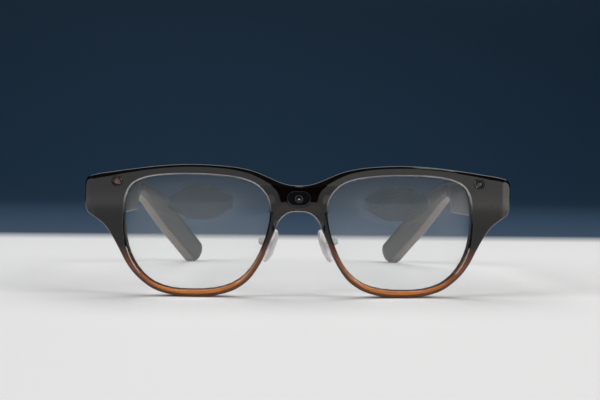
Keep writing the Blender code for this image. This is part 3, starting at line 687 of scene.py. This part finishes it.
def carve(obj, *cutters):
    for c in cutters:
        mod = obj.modifiers.new("carve", "BOOLEAN")
        mod.operation = "DIFFERENCE"
        mod.object = c
        mod.solver = "EXACT"
        graph = bpy.context.evaluated_depsgraph_get()
        graph.update()
        mesh = bpy.data.meshes.new_from_object(obj.evaluated_get(graph))
        obj.modifiers.clear()
        obj.data = mesh
        bpy.data.objects.remove(c, do_unlink=True)
    obj.data.shade_smooth()
    obj.data.set_sharp_from_angle(angle=math.radians(28))


def top_height(x):
    run = [p for p in half if p[1] > 38.5]
    for (ax, az), (bx, bz) in zip(run, run[1:]):
        if ax <= x <= bx:
            return az + (bz - az) * (x - ax) / (bx - ax)
    return run[-1][1]


def band(start, stop, from_top, to_low, count=26):
    xs = [start + (stop - start) * i / count for i in range(count + 1)]

    def across(by):
        found = []
        for x in xs:
            slope = (top_height(x + 0.8) - top_height(abs(x - 0.8))) / 1.6
            size = math.hypot(1, slope)
            found.append((x + by * slope / size, top_height(x) - by / size))
        return found

    return across(from_top) + across(to_low)[::-1]


front = add_piece("front_shell", build_front(), "root", "frame_gloss", ("front_frame",), 24)
# Slots 1 and 2: painted highlight materials for the lens chamfer and the bridge arch.
front.data.materials.append(MATS["chamfer_painted_glint"])
front.data.materials.append(MATS["arch_painted_glint"])
cuts = [
    cutter("cut_camera", prism(pill(8.4, 5.6, CAMERA_CENTRE), -2, 0.95, False)),
    cutter("cut_bore", prism(circle(CAMERA_CENTRE, 1.7), 0.5, 3.0, False)),
]
run = band(0, 7.3, 0.6, 0.6, 8)
run = run[: len(run) // 2]
pocket = [(-x, z) for x, z in run[:0:-1]] + run + [(7.3, 30.9), (-7.3, 30.9)]
cuts.append(cutter("cut_pocket", prism(pocket, 2.2, 9, False)))
for side in (-1, 1):
    spot = (side * WINDOW_CENTRE[0], WINDOW_CENTRE[1])
    strip = [(side * x, z) for x, z in band(7.0, 63.5, 0.6, 2.1)]
    cuts.append(cutter("cut_brow", prism(strip, 3.6, 9)))
    cuts.append(cutter("cut_window", prism(circle(spot, 1.93), -2, 0.95)))
    cuts.append(cutter("cut_way", prism(circle(spot, 1.2, 32), 0.5, 2.0)))
    cuts.append(cutter("cut_sensor", prism(circle(spot, 2.1), 1.3, 9)))
    cuts.append(cutter("cut_screw", prism(circle((side * 64.0, 28.4), 0.8, 24), 3.4, 9)))
    a, b = sorted((side * 68.2, side * 72.8))
    cuts.append(cutter("cut_engine", prism([(a, 31), (b, 31), (b, 38), (a, 38)], 7.6, 20, False)))
carve(front, *cuts)


# ---------------------------------------------------------------- lenses


def grown(loop, by):
    """The loop moved outwards by this much."""
    return [
        (x + by * nx, z + by * nz)
        for (x, z), (nx, nz) in ((p, outward(loop, i, True)) for i, p in enumerate(loop))
    ]


def lens_mesh(sign):
    """A shallow domed lens of even thickness, seated in the rebate."""
    bm = bmesh.new()
    loop = grown(smooth_path(LENS_OUTLINE, True, 1.0), 0.25)
    focus = (35.0, 22.4)
    rows = 16
    reach = 1150.0
    faces = []
    for base in (2.32, 3.88):
        flip = 1
        rings = []
        for k in range(rows, 0, -1):
            ring = []
            for x, z in loop:
                px, pz = focus[0] + (x - focus[0]) * k / rows, focus[1] + (z - focus[1]) * k / rows
                edge = (x - focus[0]) ** 2 + (z - focus[1]) ** 2
                here = (px - focus[0]) ** 2 + (pz - focus[1]) ** 2
                bulge = 1.1 * (1 - here / edge)
                ring.append(bm.verts.new(place(sign * px, base - bulge + turned(px), pz)))
            rings.append(ring)
        middle = bm.verts.new(place(sign * focus[0], base - 1.1 + turned(focus[0]), focus[1]))
        faces.append((rings, middle))
    count = len(loop)
    for rings, middle in faces:
        for a, b in zip(rings, rings[1:]):
            for i in range(count):
                j = (i + 1) % count
                bm.faces.new((a[i], a[j], b[j], b[i]))
        for i in range(count):
            bm.faces.new((rings[-1][i], rings[-1][(i + 1) % count], middle))
    a, b = faces[0][0][0], faces[1][0][0]
    for i in range(count):
        j = (i + 1) % count
        bm.faces.new((a[i], a[j], b[j], b[i]))
    return bm


for side, sign in (("left", 1), ("right", -1)):
    add_piece("lens_dome_" + side, lens_mesh(sign), "root", "lens_clear", ("lens_" + side,), 35)


# ---------------------------------------------------------------- camera and corner windows


def turned_solid(profile, centre, count=56, form=True):
    """A round solid about an axis along Y; the profile gives radius and depth."""
    bm = bmesh.new()
    rings = []
    tilt = turned(centre[0]) if form else 0.0
    sign = 1 if centre[0] >= 0 else -1
    slope = FACE_FORM * sign if form and abs(centre[0]) > 8 else 0.0
    for r, y in profile:
        if r <= 1e-6:
            rings.append([bm.verts.new(place(centre[0], y + tilt, centre[1]))])
            continue
        rings.append([
            bm.verts.new(place(
                centre[0] + r * math.cos(2 * math.pi * i / count),
                y + tilt + slope * r * math.cos(2 * math.pi * i / count),
                centre[1] + r * math.sin(2 * math.pi * i / count),
            ))
            for i in range(count)
        ])
    for a, b in zip(rings, rings[1:]):
        for i in range(count):
            j = (i + 1) % count
            if len(a) == 1 and len(b) == 1:
                continue
            if len(a) == 1:
                bm.faces.new((a[0], b[i], b[j]))
            elif len(b) == 1:
                bm.faces.new((a[i], b[0], a[j]))
            else:
                bm.faces.new((a[i], b[i], b[j], a[j]))
    if len(rings[0]) > 1 and len(rings[-1]) > 1:
        for i in range(count):
            j = (i + 1) % count
            bm.faces.new((rings[-1][i], rings[0][i], rings[0][j], rings[-1][j]))
    return bm


def pill_plate():
    """The camera window: a narrow chamfer, a thin rim and a faintly dished middle."""
    bm = bmesh.new()
    rings = []
    for w, h, y in (
        (7.8, 5.0, 0.65), (7.8, 5.0, 0.26), (7.72, 4.92, 0.21), (7.4, 4.6, 0.20),
        (6.6, 3.8, 0.205), (5.6, 2.8, 0.21),
    ):
        rings.append([bm.verts.new(place(x, y, z)) for x, z in pill(w, h, CAMERA_CENTRE)])
    count = len(rings[0])
    for a, b in zip(rings, rings[1:]):
        for i in range(count):
            j = (i + 1) % count
            bm.faces.new((a[i], a[j], b[j], b[i]))
    bm.faces.new(rings[0][::-1])
    bm.faces.new(rings[-1])
    return bm


MATS["ring_dark"] = metal("ring_dark_mat", (0.115, 0.115, 0.118), (0.30, 0.38), (1, 1, 1), 1500)
MATS["glint"] = metal("glint_mat", (0.78, 0.79, 0.80), (0.28, 0.34), (1, 1, 1), 1500)
add_piece("camera_glass", pill_plate(), "root", "dark_glass", ("camera_window",), 22)
line = bmesh.new()
rings = []
for w, h, y in ((7.86, 5.06, 0.62), (7.86, 5.06, 0.12), (7.94, 5.14, 0.05), (8.06, 5.26, 0.05), (8.14, 5.34, 0.12), (8.14, 5.34, 0.62)):
    rings.append([line.verts.new(place(x, y, z)) for x, z in pill(w, h, CAMERA_CENTRE)])
count = len(rings[0])
for a, b in zip(rings, rings[1:] + rings[:1]):
    for i in range(count):
        j = (i + 1) % count
        line.faces.new((a[i], a[j], b[j], b[i]))
bezel = add_piece("camera_bezel", line, "root", "alloy_housing")
bezel.data.materials[0] = MATS["ring_dark"]

ring_profile = [(1.14, 0.30), (1.14, 0.17), (1.18, 0.12), (1.30, 0.12), (1.34, 0.17), (1.34, 0.30)]
eye_ring = add_piece("camera_ring", turned_solid(ring_profile, CAMERA_CENTRE, form=False), "root", "alloy_housing")
eye_ring.data.materials[0] = MATS["ring_dark"]
dome = [(0.0, 0.07)] + [(0.95 * math.sin(a), 0.30 - 0.23 * math.cos(a)) for a in (math.pi / 2 * i / 10 for i in range(1, 11))]
add_piece("camera_eye", turned_solid(dome + [(0.95, 0.34), (0.0, 0.34)], CAMERA_CENTRE, form=False), "root", "dark_glass")

# A small bright metal bead at the camera's centre stands in for its glint: a painted highlight.
bead = [(0.0, 0.045)] + [(0.24 * math.sin(a), 0.10 - 0.055 * math.cos(a)) for a in (math.pi / 2 * i / 6 for i in range(1, 7))]
glint_bead = add_piece("camera_glint_bead", turned_solid(bead + [(0.24, 0.14), (0.0, 0.14)], CAMERA_CENTRE, form=False), "root", "alloy_housing")
glint_bead.data.materials[0] = MATS["glint"]

for side, slot, node in ((-1, "sensor_glass", "status_light_window"), (1, "dark_glass", "sensor_window")):
    spot = (side * WINDOW_CENTRE[0], WINDOW_CENTRE[1])
    tag = "right" if side < 0 else "left"
    rim = [(1.18, 0.72), (1.18, 0.42), (1.30, 0.20), (1.45, 0.12), (1.62, 0.12), (1.70, 0.20), (1.70, 0.72)]
    add_piece("window_ring_" + tag, turned_solid(rim, spot), "root", "dark_glass", (node,))
    eye = [(0.0, 0.34)] + [(1.12 * math.sin(a), 0.50 - 0.16 * math.cos(a)) for a in (math.pi / 2 * i / 8 for i in range(1, 9))]
    glass = add_piece("window_eye_" + tag, turned_solid(eye + [(1.12, 0.7), (0.0, 0.7)], spot), "root", slot)
    if side > 0:
        MATS["grey_window"] = black_glass("grey_window", (0.020, 0.019, 0.019), (0.10, 0.2))
        glass.data.materials[0] = MATS["grey_window"]


# ---------------------------------------------------------------- temples


def loft(sections, close_ends=True):
    bm = bmesh.new()
    rings = [[bm.verts.new(place(*p)) for p in section] for section in sections]
    count = len(rings[0])
    for a, b in zip(rings, rings[1:]):
        for i in range(count):
            j = (i + 1) % count
            bm.faces.new((a[i], a[j], b[j], b[i]))
    if close_ends:
        bm.faces.new(rings[0][::-1])
        bm.faces.new(rings[-1])
    return bm


def ramp(y, start, end, slope):
    if y <= start:
        return 0.0
    if y < end:
        return slope * (y - start) ** 2 / (2 * (end - start))
    return slope * ((end - start) / 2 + y - end)


def temple_x(x, y):
    narrow = 1 - 0.25 * ease((y - 78.0) / 18.0)
    return 70.25 + (x - 70.25) * narrow - ramp(y, 95.0, 108.0, 0.505)


def low_edge(y):
    return 27.3 + 5.9 * ease((y - 79.0) / 13.0)


def ear_centre(y):
    return 36.35 - ramp(y, 98.0, 112.0, 0.81)


def ear_half(y):
    return 3.15 + 2.2 * ease((y - 97.0) / 30.0)


def rounded_section(x_low, x_high, z_low, z_high, radii, count=7):
    """Corners in order: inner low, outer low, outer high, inner high."""
    corners = (
        (x_low, z_low, 1, 1, math.pi), (x_high, z_low, -1, 1, 1.5 * math.pi),
        (x_high, z_high, -1, -1, 0.0), (x_low, z_high, 1, -1, 0.5 * math.pi),
    )
    found = []
    for (x, z, sx, sz, start), r in zip(corners, radii):
        for i in range(count):
            a = start + math.pi / 2 * i / (count - 1)
            found.append((x + sx * r + r * math.cos(a), z + sz * r + r * math.sin(a)))
    return found


def shell_sections():
    sections = []
    ys = [13.8, 13.84, 13.95, 14.15, 14.5] + [15 + i * 3.0 for i in range(22)] + [79 + i * 1.0 for i in range(18)] + [96.9, 97.0]
    for y in ys:
        pinch = 0.0
        if y < 14.5:
            pinch = 0.45 * (1 - math.sqrt(max(0.0, 1 - ((14.5 - y) / 0.7) ** 2)))
        if y > 96.5:
            pinch = 0.25 * ((y - 96.5) / 0.5) ** 2
        row = rounded_section(67.8, 74.0 - pinch, low_edge(y) + pinch, 39.5 - pinch, (0.15, 1.9, 1.7, 0.15))
        sections.append([(temple_x(x, y), y, z) for x, z in row])
    return sections


def cover_sections():
    sections = []
    for y in [24.3, 24.4, 24.7] + [26 + i * 3.0 for i in range(18)] + [79 + i * 1.0 for i in range(18)] + [97.0]:
        pinch = 0.3 * ((24.7 - y) / 0.4) ** 2 if y < 24.7 else 0.0
        row = rounded_section(66.5 + pinch * 0.5, 67.5, low_edge(y) + pinch, 39.5 - pinch, (0.5, 0.05, 0.05, 0.5), 5)
        sections.append([(temple_x(x, y), y, z) for x, z in row])
    return sections


def ear_sections():
    sections = []
    end_y = 146.72 - 3.0
    start_y = 97.3
    length = 40
    for i in range(length + 1):
        y = start_y + (end_y - start_y) * i / length
        sections.append((y, 1.0, 0.0))
    for i in range(1, 9):
        a = math.pi / 2 * i / 9
        sections.append((end_y, math.cos(a), math.sin(a)))
    sections.append((end_y, 0.05, 1.0))
    found = []
    for index, (y, size, beyond) in enumerate(sections):
        slope = (ear_centre(y + 0.1) - ear_centre(y - 0.1)) / 0.2
        run = math.hypot(1, slope)
        along = (1 / run, slope / run)
        square = (-slope / run, 1 / run)
        h = ear_half(y)
        cy = y + along[0] * h * 0.86 * beyond
        cz = ear_centre(y) + along[1] * h * 0.86 * beyond
        lean = 0.0 if index > 3 else (0.25, 0.12, 0.04, 0.0)[index]
        wide = 3.75 * (1.0 if beyond == 0 else math.sqrt(max(0.06, 1 - beyond ** 2)) ** 0.45) - lean
        tall = (h - lean) * size
        r = min(2.35, wide * 0.8, max(tall * 0.9, 0.05))
        row = rounded_section(-wide, wide, -tall, tall, (r, r, r, r), 8)
        section = []
        for x, t in row:
            py, pz = cy + square[0] * t, cz + square[1] * t
            section.append((temple_x(70.25 + x, py), py, pz))
        found.append(section)
    return found


def flipped(sections):
    return [[(-x, y, z) for x, y, z in section][::-1] for section in sections]


def box_cutter(name, x, y, z):
    bm = bmesh.new()
    bmesh.ops.create_cube(bm, size=1.0)
    low, high = place(x[0], y[0], z[0]), place(x[1], y[1], z[1])
    for vert in bm.verts:
        vert.co = Vector(((low[k] + high[k]) / 2 + vert.co[k] * (high[k] - low[k])) for k in range(3))
    return cutter(name, bm)


for side in ("left", "right"):
    sign = 1 if side == "left" else -1
    body = "temple_" + side
    turn = (lambda s: s) if sign > 0 else flipped
    shell = add_piece("temple_body_" + side, loft(turn(shell_sections())), body, "temple_satin", ("temple_shell_" + side,), 30)

    def span(a, b):
        return tuple(sorted((sign * a, sign * b)))

    shell_cuts = [
        box_cutter("cut_cavity", span(67.0, 72.6), (27, 83), (28.9, 37.9)),
        box_cutter("cut_speaker", span(69.0, 72.0), (70.0, 80.0), (26.0, 29.5)),
    ]
    if side == "left":
        shell_cuts.append(box_cutter("cut_power", span(68.9, 72.1), (31.7, 38.3), (26.0, 30.0)))
    else:
        shell_cuts.append(box_cutter("cut_capture", span(68.9, 72.1), (31.7, 40.3), (36.5, 41.0)))
    carve(shell, *shell_cuts)
    inner_cover = add_piece("temple_inner_" + side, loft(turn(cover_sections())), body, "temple_satin", ("temple_cover_" + side,), 30)
    if side == "right":
        carve(inner_cover, box_cutter("cut_contacts", span(66.0, 68.0), (44, 53), (31.6, 35.2)))
    add_piece("ear_end_" + side, loft(turn(ear_sections())), body, "tip_satin", ("ear_tip_" + side,), 40)


# ---------------------------------------------------------------- nose pads

TURN = Matrix.Rotation(-math.radians(18), 3, "Z") @ Matrix.Rotation(-math.radians(21), 3, "Y")
PIVOT = Vector((12.0, 11.4, 18.2))


def pad_mesh(sign):
    """A soft teardrop: fuller low down, with a slight hollow on the side that meets the nose."""
    bm = bmesh.new()
    bmesh.ops.create_uvsphere(bm, u_segments=48, v_segments=32, radius=1.0)
    for vert in bm.verts:
        p = vert.co.copy()
        k = 1 / (abs(p.x) ** 2.4 + abs(p.y) ** 2.4 + abs(p.z) ** 2.4) ** (1 / 2.4)
        full = 1.0 - 0.14 * max(0.0, p.z) ** 2
        local = Vector((-2.42 + p.x * k * 1.68 * full, p.y * k * 3.4 * full, p.z * k * 6.1))
        if p.x < 0:
            local.x += 0.18 * math.exp(-((local.y / 2.2) ** 2 + (local.z / 4.0) ** 2))
        spot = PIVOT + TURN @ local
        vert.co = place(sign * spot.x, spot.y, spot.z)
    return bm


for side, sign, body in (("left", 1, "nose_pad_l"), ("right", -1, "nose_pad_r")):
    add_piece("soft_pad_" + side, pad_mesh(sign), body, "silicone_clear", ("nose_pad_" + side,), 60)


# ---------------------------------------------------------------- stage, light and camera


def stage_floor():
    """A pale table that fades to slate behind the glasses and sweeps up into a plain wall."""
    bm = bmesh.new()
    profile = [(-3.0, 0.0), (1.1, 0.0)]
    radius = 0.7
    for i in range(1, 13):
        a = math.pi / 2 * i / 12
        profile.append((1.1 + radius * math.sin(a), radius * (1 - math.cos(a))))
    profile.append((1.8, 3.0))
    rows = [[bm.verts.new((x, y, z)) for y, z in profile] for x in (-3.5, 3.5)]
    for i in range(len(profile) - 1):
        bm.faces.new((rows[0][i], rows[1][i], rows[1][i + 1], rows[0][i + 1]))
    mesh = bpy.data.meshes.new("table")
    bm.to_mesh(mesh)
    bm.free()
    obj = bpy.data.objects.new("table", mesh)
    bpy.context.scene.collection.objects.link(obj)
    mesh.shade_smooth()
    n = Nodes("table_top")
    split = n.add("ShaderNodeSeparateXYZ")
    n.link(n.coord.outputs["Object"], split.inputs[0])
    far = n.spread(split.outputs["Y"], 0.0, 1.0, 0.222, 1.800)
    shades = [(0.0, (0.72, 0.72, 0.72)), (0.043, (0.012, 0.040, 0.082)), (0.56, (0.018, 0.052, 0.100)), (1.0, (0.024, 0.068, 0.130))]
    n.link(n.ramp(far, shades, "LINEAR"), n.shader.inputs["Base Color"])
    n.set(Roughness=0.6)
    mesh.materials.append(n.mat)
    for side in (-1, 1):
        bm = bmesh.new()
        corners = [(side * 3.45, y, z) for y, z in ((-3.0, 0.0), (1.8, 0.0), (1.8, 3.0), (-3.0, 3.0))]
        bm.faces.new([bm.verts.new(c) for c in corners])
        mesh = bpy.data.meshes.new("side_wall")
        bm.to_mesh(mesh)
        bm.free()
        wall = bpy.data.objects.new("side_wall_" + ("right" if side < 0 else "left"), mesh)
        bpy.context.scene.collection.objects.link(wall)
        n = Nodes(wall.name)
        n.link(n.mix(n.noise(2, 3, 0.5), (0.018, 0.050, 0.096), (0.022, 0.060, 0.112)), n.shader.inputs["Base Color"])
        n.set(Roughness=0.7)
        mesh.materials.append(n.mat)


def dark_card():
    """A black card before the camera, seen only in reflections, that keeps the bridge black."""
    bm = bmesh.new()
    corners = [(-0.115, 0.0), (0.145, 0.0), (0.145, 0.16), (-0.115, 0.16)]
    bm.faces.new([bm.verts.new((x, -0.86, z)) for x, z in corners])
    mesh = bpy.data.meshes.new("card")
    bm.to_mesh(mesh)
    bm.free()
    obj = bpy.data.objects.new("card", mesh)
    bpy.context.scene.collection.objects.link(obj)
    n = Nodes("card_black")
    n.set(Base_Color=(0.0005, 0.0005, 0.0005, 1), Roughness=1.0, Specular_IOR_Level=0.0)
    mesh.materials.append(n.mat)
    obj.visible_camera = False
    obj.visible_shadow = False
    obj.visible_diffuse = False


stage_floor()
dark_card()


def softbox(name, where, aim, size, power, colour=(1, 1, 1)):
    light = bpy.data.lights.new(name, "AREA")
    light.shape = "RECTANGLE"
    light.size, light.size_y = size
    light.energy = power
    light.color = colour
    obj = bpy.data.objects.new(name, light)
    obj.location = where
    obj.rotation_euler = (Vector(aim) - Vector(where)).to_track_quat("-Z", "Y").to_euler()
    obj.visible_camera = False
    bpy.context.scene.collection.objects.link(obj)
    return obj


softbox("top_light", (0.12, 0.42, 0.95), (0, 0.03, 0.0), (1.5, 0.75), 9.5)
softbox("side_left", (-1.15, -0.60, 0.75), (0, -0.5, 0.0), (0.8, 0.8), 13.0)
softbox("side_right", (1.15, -0.60, 0.75), (0, -0.5, 0.0), (0.8, 0.8), 13.0, (1.0, 0.98, 0.95))


def low_panel(name, near, far, height, radiance, colour=(1, 1, 1)):
    """An upright panel on the table in front, between two points, with this radiance."""
    a, b = Vector((*near, 0)), Vector((*far, 0))
    width = (b - a).length
    middle = (a + b) / 2 + Vector((0, 0, height / 2 + 0.0005))
    square = Vector((b.y - a.y, a.x - b.x, 0)).normalized()
    if square.dot(Vector((0, 0, 0)) - middle) < 0:
        square = -square
    softbox(name, middle, middle + square, (width, height), radiance * math.pi * width * height, colour)


low_panel("left_panel", (-0.125, -1.02), (-0.62, -0.96), 0.11, 0.92)
low_panel("left_wing", (-0.62, -0.96), (-0.98, -0.55), 0.11, 0.95)
low_panel("right_panel", (0.155, -1.02), (0.50, -0.98), 0.11, 1.15, (1.0, 0.99, 0.97))
low_panel("right_wing", (0.50, -0.98), (0.95, -0.55), 0.16, 2.4, (1.0, 0.93, 0.87))

world = bpy.data.worlds.new("studio")
bpy.context.scene.world = world
world.use_nodes = True
background = world.node_tree.nodes["Background"]
background.inputs["Color"].default_value = (0.30, 0.33, 0.38, 1)
background.inputs["Strength"].default_value = 0.12

D = 0.333
CAM = Vector((-0.00684, FRONT_Y * MM - D, 0.0425))
YAW, PITCH, ROLL = 0.02157, math.atan(25 / 972), math.radians(0.55)
forward = Vector((math.sin(YAW) * math.cos(PITCH), math.cos(YAW) * math.cos(PITCH), -math.sin(PITCH)))
right = forward.cross(Vector((0, 0, 1))).normalized()
up = right.cross(forward)
r = right * math.cos(ROLL) + up * math.sin(ROLL)
u = up * math.cos(ROLL) - right * math.sin(ROLL)
cam_data = bpy.data.cameras.new("camera")
cam_data.lens = 972 / 600 * 36
cam_data.sensor_width = 36
cam_data.clip_start = 0.01
cam = bpy.data.objects.new("camera", cam_data)
cam.matrix_world = Matrix((
    (r.x, u.x, -forward.x, CAM.x), (r.y, u.y, -forward.y, CAM.y), (r.z, u.z, -forward.z, CAM.z), (0, 0, 0, 1),
))
bpy.context.scene.collection.objects.link(cam)
bpy.context.scene.camera = cam
bpy.context.scene.view_settings.view_transform = "Standard"
